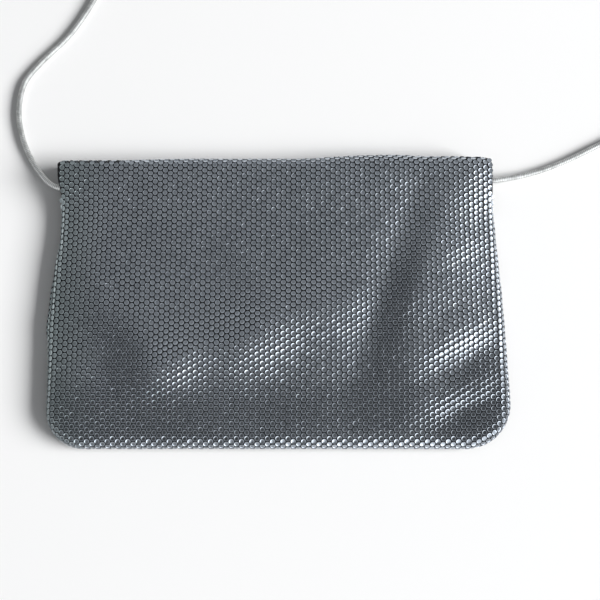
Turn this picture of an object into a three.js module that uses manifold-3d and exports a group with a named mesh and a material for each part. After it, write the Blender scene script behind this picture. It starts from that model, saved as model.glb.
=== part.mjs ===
// A metal mesh purse that lies on its back with its long flap closed over the front, and its snake
// chain strap laid out on the table in one loop beyond the top fold. Millimetres, +Z up. The origin
// is the middle of the purse on the underside of the back panel, +Y points to the top fold.
import * as THREE from 'three';
import { mergeGeometries, mergeVertices } from 'three/addons/utils/BufferGeometryUtils.js';
import Module from 'manifold-3d';

// Sheet of plated ring mesh
const bagWidth = 232;
const bagHeight = 151.6;
const meshWall = 1.8;
const clearance = 0.3;

// Outline: bottom corners of every sheet, and the small corners at the ends of the top fold
const leftCorner = 19;
const rightCorner = 23.5;
const foldCorner = 4.5;
const backInset = 1.2;

// The cover's rim rolls down round the pocket's rim
const pocketRoll = 2.1;
const rollFadeStart = 34;
const rollFadeEnd = 11;

// Top fold, measured on the outside, and the free height inside it
const foldReach = 6;
const tunnelHeight = 8.4;
const foldShoulder = 30;

// How far the filled pocket lifts the cover, and how far in from the sides and from the bottom it
// reaches full height
const pocketRise = 2.6;
const riseWidth = 32;
const lowRiseWidth = 52;
const mouthDrop = 23;

// Depth that the dents and folds are measured in, and how far they stay from the rim and the fold
const creaseDepth = 2.4;
const creaseMargin = 10;

// Hidden closure disc
const snapDiameter = 14;
const snapThickness = 1.6;
const snapDrop = 110;
const snapMargin = 8;
const snapBed = 18;

// Strap and the metalwork at its two ends
const chainDiameter = 3;
const chainSides = 8;
const chainSteps = 80;
const capWall = 0.6;
const capLength = 8;
const capBore = 4;
const capClearance = 0.5;
const wireDiameter = 0.9;
const eyeDiameter = 3.6;
const ringDiameter = 5.2;
const tabLength = 10;
const tabWidth = 8;
const tabThickness = 0.8;
const hardwareInset = 6.5;
const leftStrapDrop = 17.3;
const rightStrapDrop = 12.8;

// How finely the sheets are cut into flats
const rollSteps = 4;
const acrossSteps = 28;
const alongSteps = 18;
const neckSteps = 3;
const foldSteps = 8;
const roundSides = 16;
const wireSides = 6;

// What follows from the sizes above
const halfWidth = bagWidth / 2;
const halfHeight = bagHeight / 2;
const rimHeight = meshWall + clearance;
const layerStep = meshWall + clearance;
const coverRoll = pocketRoll + meshWall + layerStep;
const foldLine = halfHeight - foldReach;
const foldHeight = tunnelHeight + 2 * meshWall;
const shoulderHeight = rimHeight + coverRoll;
const mouthLine = halfHeight - mouthDrop;

// Side edges from the bottom (height 0) to the top (height 1) of the purse, as shares of half its
// width. The back panel shows past the flap on the left at about a third of the height.
const sideRows = [
  { height: 0.00, flapLeft: 1.000, flapRight: 1.010, backLeft: 1.000, backRight: 1.010 },
  { height: 0.15, flapLeft: 1.006, flapRight: 1.009, backLeft: 1.006, backRight: 1.009 },
  { height: 0.30, flapLeft: 1.011, flapRight: 1.003, backLeft: 1.013, backRight: 1.003 },
  { height: 0.40, flapLeft: 1.017, flapRight: 0.998, backLeft: 1.039, backRight: 0.998 },
  { height: 0.50, flapLeft: 1.007, flapRight: 0.992, backLeft: 1.031, backRight: 0.992 },
  { height: 0.60, flapLeft: 0.999, flapRight: 0.984, backLeft: 1.017, backRight: 0.984 },
  { height: 0.72, flapLeft: 0.983, flapRight: 0.974, backLeft: 0.987, backRight: 0.974 },
  { height: 0.85, flapLeft: 0.981, flapRight: 0.962, backLeft: 0.981, backRight: 0.962 },
  { height: 0.93, flapLeft: 0.990, flapRight: 0.955, backLeft: 0.990, backRight: 0.955 },
  { height: 1.00, flapLeft: 0.994, flapRight: 0.953, backLeft: 0.990, backRight: 0.953 },
];

// How far the top fold reaches, from the left end (width 0) to the right end (width 1)
const foldRows = [
  { width: 0.00, reach: 0.58 },
  { width: 0.12, reach: 0.58 },
  { width: 0.30, reach: 0.73 },
  { width: 0.55, reach: 0.74 },
  { width: 0.72, reach: 1.06 },
  { width: 0.78, reach: 1.12 },
  { width: 0.86, reach: 1.00 },
  { width: 1.00, reach: 0.95 },
];

// Dents and folds of the cover. x and y are shares of half the width and height, turn is the
// direction that the fold runs in, in degrees from +X. length and width are its half sizes, as
// shares of half the height, and lift is in crease depths.
const creaseRows = [
  { name: 'long ridge low', x: -0.44, y: -0.43, turn: 33, length: 0.19, width: 0.11, lift: 1.35 },
  { name: 'long ridge', x: -0.11, y: -0.295, turn: 38, length: 0.20, width: 0.15, lift: 1.55 },
  { name: 'long ridge high', x: 0.21, y: -0.08, turn: 10, length: 0.36, width: 0.14, lift: 1.05 },
  { name: 'right valley', x: 0.475, y: 0.10, turn: 70, length: 0.44, width: 0.08, lift: -0.6 },
  { name: 'right ridge', x: 0.64, y: 0.12, turn: 68, length: 0.44, width: 0.14, lift: 0.45 },
  { name: 'high edge ripple', x: 0.88, y: 0.42, turn: 24, length: 0.12, width: 0.05, lift: 0.2 },
  { name: 'edge ripple', x: 0.86, y: 0.20, turn: 24, length: 0.18, width: 0.045, lift: 0.2 },
  { name: 'first ripple', x: 0.77, y: -0.26, turn: 28, length: 0.16, width: 0.06, lift: 0.35 },
  { name: 'first hollow', x: 0.835, y: -0.415, turn: 28, length: 0.13, width: 0.06, lift: -0.35 },
  { name: 'second ripple', x: 0.80, y: -0.59, turn: 22, length: 0.16, width: 0.06, lift: 0.3 },
  { name: 'second hollow', x: 0.80, y: -0.76, turn: 22, length: 0.16, width: 0.06, lift: -0.35 },
  { name: 'corner ripple', x: 0.90, y: -0.90, turn: 20, length: 0.14, width: 0.06, lift: 0.25 },
];

// Points that the chain passes on its way from the left cap to the right cap: how far out from the
// purse's side and how far up from its top edge, and the height over the table
const chainRoute = [
  { side: -1, out: -1, up: -16.8, z: 4.6 },
  { side: -1, out: 4.6, up: -14, z: 3.9 },
  { side: -1, out: 10, up: -8.5, z: 2.5 },
  { side: -1, out: 15.4, up: -1, z: 1.6 },
  { side: -1, out: 21.2, up: 11.7, z: 1.5 },
  { side: -1, out: 24.3, up: 26.9, z: 1.5 },
  { side: -1, out: 22.2, up: 43.2, z: 1.5 },
  { side: -1, out: 15.5, up: 53.4, z: 1.5 },
  { side: -1, out: -3, up: 74.2, z: 1.5 },
  { side: -1, out: -23, up: 114.2, z: 1.5 },
  { side: -1, out: -41, up: 174.2, z: 1.5 },
  { side: -1, out: -74, up: 242.2, z: 1.5 },
  { side: 1, out: -101, up: 290.2, z: 1.5 },
  { side: 1, out: -31, up: 298.2, z: 1.5 },
  { side: 1, out: 34, up: 264.2, z: 1.5 },
  { side: 1, out: 88, up: 199.2, z: 1.5 },
  { side: 1, out: 114, up: 124.2, z: 1.5 },
  { side: 1, out: 108, up: 62.2, z: 1.5 },
  { side: 1, out: 82, up: 25.2, z: 1.5 },
  { side: 1, out: 47, up: 4.3, z: 1.5 },
  { side: 1, out: 27.9, up: -4.3, z: 1.5 },
  { side: 1, out: 15, up: -8.5, z: 1.8 },
  { side: 1, out: 5, up: -11, z: 3.3 },
  { side: 1, out: -2.5, up: -12.5, z: 4.5 },
];

const wasm = await Module();
wasm.setup();

function clamp(value, low, high) {
  return Math.min(high, Math.max(low, value));
}

function ease(value) {
  const share = clamp(value, 0, 1);
  return share * share * (3 - 2 * share);
}

// A value read from rows that are sorted by their key, with eased steps from row to row
function readRows(rows, key, column, at) {
  const spot = clamp(at, rows[0][key], rows[rows.length - 1][key]);
  const next = Math.max(1, rows.findIndex((row) => row[key] >= spot));
  const low = rows[next - 1];
  const high = rows[next];
  const share = (spot - low[key]) / (high[key] - low[key]);
  return THREE.MathUtils.lerp(low[column], high[column], ease(share));
}

function sideAt(column, y) {
  return halfWidth * readRows(sideRows, 'height', column, (y + halfHeight) / bagHeight);
}

// Lift of all dents and folds at one place
function creaseAt(x, y) {
  let lift = 0;
  for (const row of creaseRows) {
    const turn = THREE.MathUtils.degToRad(row.turn);
    const dx = x - row.x * halfWidth;
    const dy = y - row.y * halfHeight;
    const along = (dx * Math.cos(turn) + dy * Math.sin(turn)) / (row.length * halfHeight);
    const across = (dy * Math.cos(turn) - dx * Math.sin(turn)) / (row.width * halfHeight);
    lift += row.lift * Math.exp(-(along * along + across * across) / 2);
  }
  return creaseDepth * lift;
}

// Height of the cover before its rim rolls down
function crownAt(x, y) {
  const fromLeft = x + sideAt('flapLeft', y);
  const fromRight = sideAt('flapRight', y) - x;
  const fromBottom = y + halfHeight;
  const fromRim = Math.min(fromLeft, fromRight, fromBottom);
  const sides = ease(fromLeft / riseWidth) * ease(fromRight / riseWidth);
  const pocket = pocketRise * sides * ease(fromBottom / lowRiseWidth);
  const toFold = ease(1 - (foldLine - y) / foldShoulder);
  const creased = creaseAt(x, y) * ease(fromRim / creaseMargin) * ease((foldLine - y) / creaseMargin);
  return THREE.MathUtils.lerp(shoulderHeight + pocket, foldHeight, toFold) + creased;
}

// How much of the rim's roll is left at one height: none near the top fold, where the strap leaves
function rollShareAt(y) {
  return 1 - ease((y - (halfHeight - rollFadeStart)) / (rollFadeStart - rollFadeEnd));
}

// Place on the cover for one row and column of a straight grid. The grid's bottom corners are drawn
// in to round ones. rim is the distance from the rim and outX, outY the way out of it.
function placeInOutline(x, y) {
  const left = x + sideAt('flapLeft', y);
  const right = sideAt('flapRight', y) - x;
  const side = left < right ? -1 : 1;
  const corner = side < 0 ? leftCorner : rightCorner;
  const fromSide = Math.min(left, right);
  const fromBottom = y + halfHeight;
  if (fromSide < corner && fromBottom < corner) {
    const p = 1 - fromSide / corner;
    const q = 1 - fromBottom / corner;
    const outX = p * Math.sqrt(1 - q * q / 2);
    const outY = q * Math.sqrt(1 - p * p / 2);
    const reach = Math.hypot(outX, outY);
    return {
      x: x + side * corner * (outX - p),
      y: y - corner * (outY - q),
      rim: corner * (1 - reach),
      outX: side * outX / Math.max(reach, 1e-6),
      outY: -outY / Math.max(reach, 1e-6),
    };
  }
  if (fromSide < fromBottom) {
    return { x, y, rim: fromSide, outX: side, outY: 0 };
  }
  return { x, y, rim: fromBottom, outX: 0, outY: -1 };
}

// A point of the cover's outside and its normal
function coverPoint(gridX, gridY, rollShare) {
  const place = placeInOutline(gridX, gridY);
  const turn = clamp(1 - place.rim / coverRoll, 0, 1);
  const drop = coverRoll * rollShare * (1 - Math.sqrt(1 - turn * turn));
  const point = new THREE.Vector3(place.x, place.y, crownAt(place.x, place.y) - drop);
  const tilt = turn * rollShare;
  const normal = new THREE.Vector3(place.outX * tilt, place.outY * tilt, Math.sqrt(1 - tilt * tilt));
  const step = 0.5;
  const slopeX = (crownAt(place.x + step, place.y) - crownAt(place.x - step, place.y)) / (2 * step);
  const slopeY = (crownAt(place.x, place.y + step) - crownAt(place.x, place.y - step)) / (2 * step);
  normal.x -= normal.z * slopeX;
  normal.y -= normal.z * slopeY;
  return { point, normal: normal.normalize() };
}

// A point of the top fold's outside, from its top (turn 0) round to its underside (turn half a circle)
function foldPoint(share, turn) {
  const inset = foldCorner * (1 - Math.abs(Math.cos(turn)));
  const left = -sideAt('flapLeft', foldLine) + inset;
  const right = sideAt('flapRight', foldLine) - inset;
  const x = THREE.MathUtils.lerp(left, right, share);
  const reach = foldReach * readRows(foldRows, 'width', 'reach', share);
  const half = foldHeight / 2;
  const point = new THREE.Vector3(x, foldLine + reach * Math.sin(turn), half + half * Math.cos(turn));
  const normal = new THREE.Vector3(0, Math.sin(turn) / reach, Math.cos(turn) / half).normalize();
  return { point, normal };
}

// Distances from one rim towards the other, close together where the sheet rolls down
function spread(length, steps, rollsAtEnd) {
  const places = [];
  for (let i = 0; i <= rollSteps; i += 1) {
    places.push(coverRoll * (1 - Math.cos((i / rollSteps) * Math.PI / 2)));
  }
  const flat = length - coverRoll * (rollsAtEnd ? 2 : 1);
  for (let i = 1; i <= steps; i += 1) {
    places.push(coverRoll + flat * i / steps);
  }
  if (rollsAtEnd) {
    for (let i = 1; i <= rollSteps; i += 1) {
      places.push(length - coverRoll * (1 - Math.sin((i / rollSteps) * Math.PI / 2)));
    }
  }
  return places;
}

// One row of grid points across the purse
function rowAcross(y, rollShare) {
  const left = -sideAt('flapLeft', y);
  const width = sideAt('flapRight', y) - left;
  return spread(width, acrossSteps, true).map((place) => coverPoint(left + place, y, rollShare));
}

// Grid heights from the bottom rim to the pocket's mouth, which the flap and the front panel share
const pocketHeights = spread(mouthLine + halfHeight, alongSteps, false).map((place) => place - halfHeight);

// A closed sheet from rows of outside points and the same rows of inside points
function sheetGeometry(outside, inside) {
  const rows = outside.length;
  const columns = outside[0].length;
  const positions = [...outside.flat(), ...inside.flat()].flatMap((point) => point.toArray());
  const layer = rows * columns;
  const indices = [];
  const quad = (a, b, c, d) => indices.push(a, b, c, a, c, d);
  for (let row = 0; row < rows - 1; row += 1) {
    for (let column = 0; column < columns - 1; column += 1) {
      const a = row * columns + column;
      const b = a + 1;
      const c = b + columns;
      const d = a + columns;
      quad(a, b, c, d);
      quad(layer + a, layer + d, layer + c, layer + b);
    }
  }
  const edge = [];
  for (let column = 0; column < columns - 1; column += 1) {
    edge.push(column);
  }
  for (let row = 0; row < rows - 1; row += 1) {
    edge.push(row * columns + columns - 1);
  }
  for (let column = columns - 1; column > 0; column -= 1) {
    edge.push((rows - 1) * columns + column);
  }
  for (let row = rows - 1; row > 0; row -= 1) {
    edge.push(row * columns);
  }
  edge.forEach((here, i) => {
    const next = edge[(i + 1) % edge.length];
    quad(next, here, layer + here, layer + next);
  });
  const geometry = new THREE.BufferGeometry();
  geometry.setAttribute('position', new THREE.Float32BufferAttribute(positions, 3));
  geometry.setIndex(indices);
  geometry.computeVertexNormals();
  return geometry;
}

// Points of every row moved in from the outside of the cover
function moveIn(rows, depth) {
  return rows.map((row) => row.map(({ point, normal }) => point.clone().addScaledVector(normal, -depth)));
}

function flapGeometry() {
  const neckStep = (foldLine - mouthLine) / neckSteps;
  const neckHeights = Array.from({ length: neckSteps }, (_, i) => mouthLine + (i + 1) * neckStep);
  const rows = [...pocketHeights, ...neckHeights].map((y) => rowAcross(y, rollShareAt(y)));
  const shares = spread(bagWidth, acrossSteps, true).map((place) => place / bagWidth);
  for (let i = 1; i <= foldSteps; i += 1) {
    rows.push(shares.map((share) => foldPoint(share, Math.PI * i / foldSteps)));
  }
  return sheetGeometry(moveIn(rows, 0), moveIn(rows, meshWall));
}

const snapPlace = new THREE.Vector2(0, halfHeight - snapDrop);

// Lowest height of the cover's outside over the closure disc
function coverOverSnap() {
  let lowest = crownAt(snapPlace.x, snapPlace.y);
  for (let i = 0; i < roundSides; i += 1) {
    const turn = 2 * Math.PI * i / roundSides;
    const x = snapPlace.x + snapDiameter / 2 * Math.cos(turn);
    const y = snapPlace.y + snapDiameter / 2 * Math.sin(turn);
    lowest = Math.min(lowest, crownAt(x, y));
  }
  return lowest;
}

const snapTop = coverOverSnap() - meshWall - 2 * clearance;
const snapSeat = snapTop - snapThickness - clearance;

// The front panel follows the cover, and has a level bed for the closure disc
function bedded(rows, depth) {
  return moveIn(rows, layerStep + depth).map((row) => row.map((point) => {
    const away = Math.hypot(point.x - snapPlace.x, point.y - snapPlace.y) - snapDiameter / 2;
    const bed = 1 - ease((away - snapMargin) / snapBed);
    point.z = THREE.MathUtils.lerp(point.z, Math.min(point.z, snapSeat - depth), bed);
    return point;
  }));
}

function frontPanelGeometry() {
  const rows = pocketHeights.map((y) => rowAcross(y, 1));
  return sheetGeometry(bedded(rows, 0), bedded(rows, meshWall));
}

// Outline of the back panel, from the top left corner down and round to the top right corner
function backPanelGeometry() {
  const bottom = backInset - halfHeight;
  const top = foldLine - clearance;
  const shape = new THREE.Shape();
  const leftAt = (y) => backInset - sideAt('backLeft', y);
  const rightAt = (y) => sideAt('backRight', y) - backInset;
  const sideSteps = 24;
  const heightAt = (i, corner) => THREE.MathUtils.lerp(top, bottom + corner, i / sideSteps);
  shape.moveTo(leftAt(top), top);
  for (let i = 1; i <= sideSteps; i += 1) {
    const y = heightAt(i, leftCorner);
    shape.lineTo(leftAt(y), y);
  }
  const leftCentre = leftAt(bottom + leftCorner) + leftCorner;
  shape.absarc(leftCentre, bottom + leftCorner, leftCorner, Math.PI, 1.5 * Math.PI);
  const rightCentre = rightAt(bottom + rightCorner) - rightCorner;
  shape.absarc(rightCentre, bottom + rightCorner, rightCorner, 1.5 * Math.PI, 2 * Math.PI);
  for (let i = sideSteps - 1; i >= 0; i -= 1) {
    const y = heightAt(i, rightCorner);
    shape.lineTo(rightAt(y), y);
  }
  shape.closePath();
  return new THREE.ExtrudeGeometry(shape, { depth: meshWall, bevelEnabled: false, curveSegments: 8 });
}

function snapGeometry() {
  const bevel = snapThickness / 4;
  const profile = [
    new THREE.Vector2(0, 0),
    new THREE.Vector2(snapDiameter / 2 - bevel, 0),
    new THREE.Vector2(snapDiameter / 2, bevel),
    new THREE.Vector2(snapDiameter / 2, snapThickness - bevel),
    new THREE.Vector2(snapDiameter / 2 - bevel, snapThickness),
    new THREE.Vector2(0, snapThickness),
  ];
  return new THREE.LatheGeometry(profile, roundSides).rotateX(Math.PI / 2);
}

// A closed geometry as a solid that can be joined, and back
function toSolid(geometry) {
  const bare = geometry.clone();
  bare.deleteAttribute('normal');
  bare.deleteAttribute('uv');
  const merged = mergeVertices(bare);
  const vertProperties = new Float32Array(merged.attributes.position.array);
  const triVerts = new Uint32Array(merged.index.array);
  return new wasm.Manifold(new wasm.Mesh({ numProp: 3, vertProperties, triVerts }));
}

function joined(first, second) {
  const mesh = toSolid(first).add(toSolid(second)).getMesh();
  const geometry = new THREE.BufferGeometry();
  geometry.setAttribute('position', new THREE.Float32BufferAttribute(mesh.vertProperties, 3));
  geometry.setIndex([...mesh.triVerts]);
  geometry.computeVertexNormals();
  return geometry;
}

// Strap metalwork lies along X, measured from the centre of the ring. out is the way to the chain.
const capBoreRadius = chainDiameter / 2 + capClearance;
const capRadius = capBoreRadius + capWall;
const tabTop = meshWall + clearance + tabThickness;
const linkHeight = tabTop + eyeDiameter / 2;

function wireLoop(diameter) {
  return new THREE.TorusGeometry(diameter / 2, wireDiameter / 2, wireSides, roundSides);
}

// Upright loop of wire in the plane of the chain
function eyeGeometry(x) {
  return wireLoop(eyeDiameter).rotateX(Math.PI / 2).translate(x, 0, 0);
}

function capGeometry(out) {
  const start = ringDiameter / 2 + eyeDiameter / 2;
  const profile = [
    new THREE.Vector2(0, start),
    new THREE.Vector2(capRadius - capWall, start),
    new THREE.Vector2(capRadius, start + capWall),
    new THREE.Vector2(capRadius, start + capLength),
    new THREE.Vector2(capBoreRadius, start + capLength),
    new THREE.Vector2(capBoreRadius, start + capLength - capBore),
    new THREE.Vector2(0, start + capLength - capBore),
  ];
  const cup = new THREE.LatheGeometry(profile, roundSides).rotateZ(-out * Math.PI / 2);
  return joined(cup, eyeGeometry(out * ringDiameter / 2));
}

function tabGeometry(out) {
  const plate = new THREE.BoxGeometry(tabLength, tabWidth, tabThickness);
  const overlap = wireDiameter * 1.4;
  const plateX = -out * (ringDiameter / 2 + tabLength / 2 - overlap);
  plate.translate(plateX, 0, tabTop - tabThickness / 2 - linkHeight);
  return joined(plate, eyeGeometry(-out * ringDiameter / 2));
}

// Ring centre at one end of the strap
function linkPlace(out) {
  const y = halfHeight - (out < 0 ? leftStrapDrop : rightStrapDrop);
  const side = sideAt(out < 0 ? 'flapLeft' : 'flapRight', y);
  const span = ringDiameter / 2 + eyeDiameter / 2 + capLength;
  return new THREE.Vector3(out * (side - hardwareInset - span), y, linkHeight);
}

// Chain end, half way down the cap's bore
function chainEnd(out) {
  const reach = ringDiameter / 2 + eyeDiameter / 2 + capLength - capBore / 2;
  return linkPlace(out).add(new THREE.Vector3(out * reach, 0, 0));
}

function routePoint({ side, out, up, z }) {
  return new THREE.Vector3(side * (halfWidth + out), halfHeight + up, z);
}

function chainGeometry() {
  const mouth = new THREE.Vector3(capBore / 2 + clearance, 0, 0);
  const points = [
    chainEnd(-1),
    chainEnd(-1).sub(mouth),
    ...chainRoute.map(routePoint),
    chainEnd(1).add(mouth),
    chainEnd(1),
  ];
  const section = new THREE.Shape();
  for (let i = 0; i < chainSides; i += 1) {
    const turn = 2 * Math.PI * (i + 0.5) / chainSides;
    const radius = chainDiameter / 2;
    section[i === 0 ? 'moveTo' : 'lineTo'](radius * Math.cos(turn), radius * Math.sin(turn));
  }
  section.closePath();
  const extrudePath = new THREE.CatmullRomCurve3(points, false, 'centripetal');
  return new THREE.ExtrudeGeometry(section, { steps: chainSteps, extrudePath, bevelEnabled: false });
}

const finishes = {
  mesh: new THREE.MeshStandardMaterial({ color: 0x7f858c, roughness: 0.34, metalness: 0.95 }),
  chain: new THREE.MeshStandardMaterial({ color: 0xb4b7ba, roughness: 0.28, metalness: 1.0 }),
  fitting: new THREE.MeshStandardMaterial({ color: 0xa7aaad, roughness: 0.3, metalness: 1.0 }),
};

const purse = new THREE.Group();

function addPiece(name, geometry, material, place = new THREE.Vector3()) {
  const mesh = new THREE.Mesh(geometry, material);
  mesh.name = name;
  mesh.position.copy(place);
  purse.add(mesh);
}

addPiece('back_panel', backPanelGeometry(), finishes.mesh);
addPiece('front_panel', frontPanelGeometry(), finishes.mesh);
addPiece('flap', flapGeometry(), finishes.mesh);
addPiece('snap', snapGeometry(), finishes.fitting, new THREE.Vector3(snapPlace.x, snapPlace.y, snapSeat + clearance));
addPiece('strap_chain', chainGeometry(), finishes.chain);
for (const [side, out] of [['left', -1], ['right', 1]]) {
  addPiece(`strap_cap_${side}`, capGeometry(out), finishes.fitting, linkPlace(out));
  addPiece(`strap_ring_${side}`, wireLoop(ringDiameter), finishes.fitting, linkPlace(out));
  addPiece(`strap_tab_${side}`, tabGeometry(out), finishes.fitting, linkPlace(out));
}

export default purse;
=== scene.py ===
"""Metal mesh purse, closed and lying on its back, with its snake chain strap on the table."""
import math

import bpy
import numpy as np
from bpy.props import FloatProperty, FloatVectorProperty, IntProperty, PointerProperty
from bpy.types import Operator, Panel, PropertyGroup
from mathutils import Euler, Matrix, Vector
from mathutils.kdtree import KDTree


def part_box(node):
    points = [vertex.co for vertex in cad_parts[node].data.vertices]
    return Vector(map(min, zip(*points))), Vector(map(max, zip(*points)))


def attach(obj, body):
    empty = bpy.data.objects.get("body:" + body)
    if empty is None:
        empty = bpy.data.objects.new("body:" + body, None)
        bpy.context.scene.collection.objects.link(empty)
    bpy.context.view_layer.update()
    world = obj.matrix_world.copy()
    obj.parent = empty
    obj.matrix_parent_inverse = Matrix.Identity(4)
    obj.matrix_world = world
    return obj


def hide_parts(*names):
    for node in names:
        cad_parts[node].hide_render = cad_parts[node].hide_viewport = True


bl_info = {
    "name": "Metal mesh purse",
    "version": (1, 0, 0),
    "blender": (4, 5, 0),
    "location": "3D View > Sidebar > Purse",
    "description": "Builds a flap purse of plated ring mesh with a snake chain strap",
    "category": "Object",
}

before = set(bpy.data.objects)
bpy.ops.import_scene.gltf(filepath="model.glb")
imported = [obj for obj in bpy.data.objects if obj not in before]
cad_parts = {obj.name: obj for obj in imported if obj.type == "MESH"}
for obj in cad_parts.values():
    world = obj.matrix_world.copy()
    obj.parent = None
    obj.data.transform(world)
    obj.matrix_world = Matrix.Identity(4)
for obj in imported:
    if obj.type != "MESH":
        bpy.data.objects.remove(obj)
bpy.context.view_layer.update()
MM = 0.001

# Sizes of the purse, as its solids have them
BAG_WIDTH = 232 * MM
BAG_HEIGHT = 151.6 * MM
MESH_WALL = 1.8 * MM
CLEARANCE = 0.3 * MM
SNAP_DIAMETER = 14 * MM
SNAP_THICKNESS = 1.6 * MM
SNAP_DROP = 110 * MM
SNAP_MARGIN = 8 * MM
SNAP_BED = 18 * MM
LEFT_CORNER = 19 * MM
RIGHT_CORNER = 23.5 * MM
FOLD_CORNER = 4.5 * MM
BACK_INSET = 1.2 * MM
POCKET_ROLL = 2.1 * MM
ROLL_FADE_START = 34 * MM
ROLL_FADE_END = 11 * MM
FOLD_REACH = 6 * MM
TUNNEL_HEIGHT = 8.4 * MM
FOLD_SHOULDER = 30 * MM
POCKET_RISE = 2.6 * MM
RISE_WIDTH = 32 * MM
LOW_RISE_WIDTH = 52 * MM
MOUTH_DROP = 23 * MM
CREASE_DEPTH = 2.4 * MM
CREASE_MARGIN = 10 * MM

HALF_WIDTH = BAG_WIDTH / 2
HALF_HEIGHT = BAG_HEIGHT / 2
LAYER_STEP = MESH_WALL + CLEARANCE
SNAP_Y = HALF_HEIGHT - SNAP_DROP
RIM_HEIGHT = MESH_WALL + CLEARANCE
COVER_ROLL = POCKET_ROLL + MESH_WALL + LAYER_STEP
FOLD_LINE = HALF_HEIGHT - FOLD_REACH
FOLD_HEIGHT = TUNNEL_HEIGHT + 2 * MESH_WALL
SHOULDER_HEIGHT = RIM_HEIGHT + COVER_ROLL
MOUTH_LINE = HALF_HEIGHT - MOUTH_DROP
# What the roll adds to the sheet's flat width beyond the outline
ROLL_EXTRA = (math.pi / 2 - 1) * COVER_ROLL


def table(columns, *rows):
    """Rows of numbers with named columns."""
    return [dict(zip(columns.split(), row)) for row in rows]


# Side edges from the bottom (height 0) to the top (height 1), as shares of half the width
SIDE_ROWS = table(
    "height flap_left flap_right back_left back_right",
    (0.00, 1.000, 1.010, 1.000, 1.010),
    (0.15, 1.006, 1.009, 1.006, 1.009),
    (0.30, 1.011, 1.003, 1.013, 1.003),
    (0.40, 1.017, 0.998, 1.039, 0.998),
    (0.50, 1.007, 0.992, 1.031, 0.992),
    (0.60, 0.999, 0.984, 1.017, 0.984),
    (0.72, 0.983, 0.974, 0.987, 0.974),
    (0.85, 0.981, 0.962, 0.981, 0.962),
    (0.93, 0.990, 0.955, 0.990, 0.955),
    (1.00, 0.994, 0.953, 0.990, 0.953),
)

# How far the top fold reaches, from its left end (width 0) to its right end (width 1)
FOLD_ROWS = table(
    "width reach",
    (0.00, 0.58),
    (0.12, 0.58),
    (0.30, 0.73),
    (0.55, 0.74),
    (0.72, 1.06),
    (0.78, 1.12),
    (0.86, 1.00),
    (1.00, 0.95),
)

# Dents and folds of the cover: place as shares of half the width and height, direction in degrees
# from +X, half sizes as shares of half the height, lift in crease depths
CREASE_ROWS = table(
    "name x y turn length width lift",
    ("long ridge low", -0.44, -0.43, 33, 0.19, 0.11, 1.35),
    ("long ridge", -0.11, -0.295, 38, 0.20, 0.15, 1.55),
    ("long ridge high", 0.21, -0.08, 10, 0.36, 0.14, 1.05),
    ("right valley", 0.475, 0.10, 70, 0.44, 0.08, -0.6),
    ("right ridge", 0.64, 0.12, 68, 0.44, 0.14, 0.45),
    ("high edge ripple", 0.88, 0.42, 24, 0.12, 0.05, 0.2),
    ("edge ripple", 0.86, 0.20, 24, 0.18, 0.045, 0.2),
    ("first ripple", 0.77, -0.26, 28, 0.16, 0.06, 0.35),
    ("first hollow", 0.835, -0.415, 28, 0.13, 0.06, -0.35),
    ("second ripple", 0.80, -0.59, 22, 0.16, 0.06, 0.3),
    ("second hollow", 0.80, -0.76, 22, 0.16, 0.06, -0.35),
    ("corner ripple", 0.90, -0.90, 20, 0.14, 0.06, 0.25),
)

# Painted shade: darker patches in the folds, hollows and other dark places of the cover, in the same
# shares; amount 1 is fully dark
PAINTED_SHADE_ROWS = table(
    "name x y turn length width amount",
    ("right streak", 0.54, 0.04, 70, 0.46, 0.075, 0.85),
    ("right streak low", 0.51, -0.46, 84, 0.42, 0.13, 0.65),
    ("first hollow", 0.88, -0.48, 30, 0.13, 0.09, 0.85),
    ("corner hollow", 0.89, -0.81, 10, 0.19, 0.14, 1.0),
    ("second hollow", 0.84, -0.70, 35, 0.24, 0.10, 0.85),
    ("low middle", 0.02, -0.76, 0, 0.75, 0.19, 0.9),
    ("low left", -0.78, -0.80, -8, 0.40, 0.17, 0.85),
    ("low left edge", -0.55, -0.98, 0, 0.50, 0.06, 1.0),
    ("left patch", -0.68, -0.37, -62, 0.26, 0.13, 1.0),
    ("middle", -0.19, 0.18, -55, 0.36, 0.18, 0.45),
    ("left side", -0.92, 0.05, 90, 0.70, 0.14, 0.30),
)

# Points that the chain passes on its way from the left cap to the right cap, in millimetres: how far
# out from the purse's side and how far up from its top edge, and the height over the table
CHAIN_ROUTE = table(
    "side out up z",
    (-1, -1, -16.8, 4.6),
    (-1, 4.6, -14, 3.9),
    (-1, 10, -8.5, 2.5),
    (-1, 15.4, -1, 1.6),
    (-1, 21.2, 11.7, 1.5),
    (-1, 24.3, 26.9, 1.5),
    (-1, 22.2, 43.2, 1.5),
    (-1, 15.5, 53.4, 1.5),
    (-1, -3, 74.2, 1.5),
    (-1, -23, 114.2, 1.5),
    (-1, -41, 174.2, 1.5),
    (-1, -74, 242.2, 1.5),
    (1, -101, 290.2, 1.5),
    (1, -31, 298.2, 1.5),
    (1, 34, 264.2, 1.5),
    (1, 88, 199.2, 1.5),
    (1, 114, 124.2, 1.5),
    (1, 108, 62.2, 1.5),
    (1, 82, 25.2, 1.5),
    (1, 47, 4.3, 1.5),
    (1, 27.9, -4.3, 1.5),
    (1, 15, -8.5, 1.8),
    (1, 5, -11, 3.3),
    (1, -2.5, -12.5, 4.5),
)
CAP_BORE = 4 * MM

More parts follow.
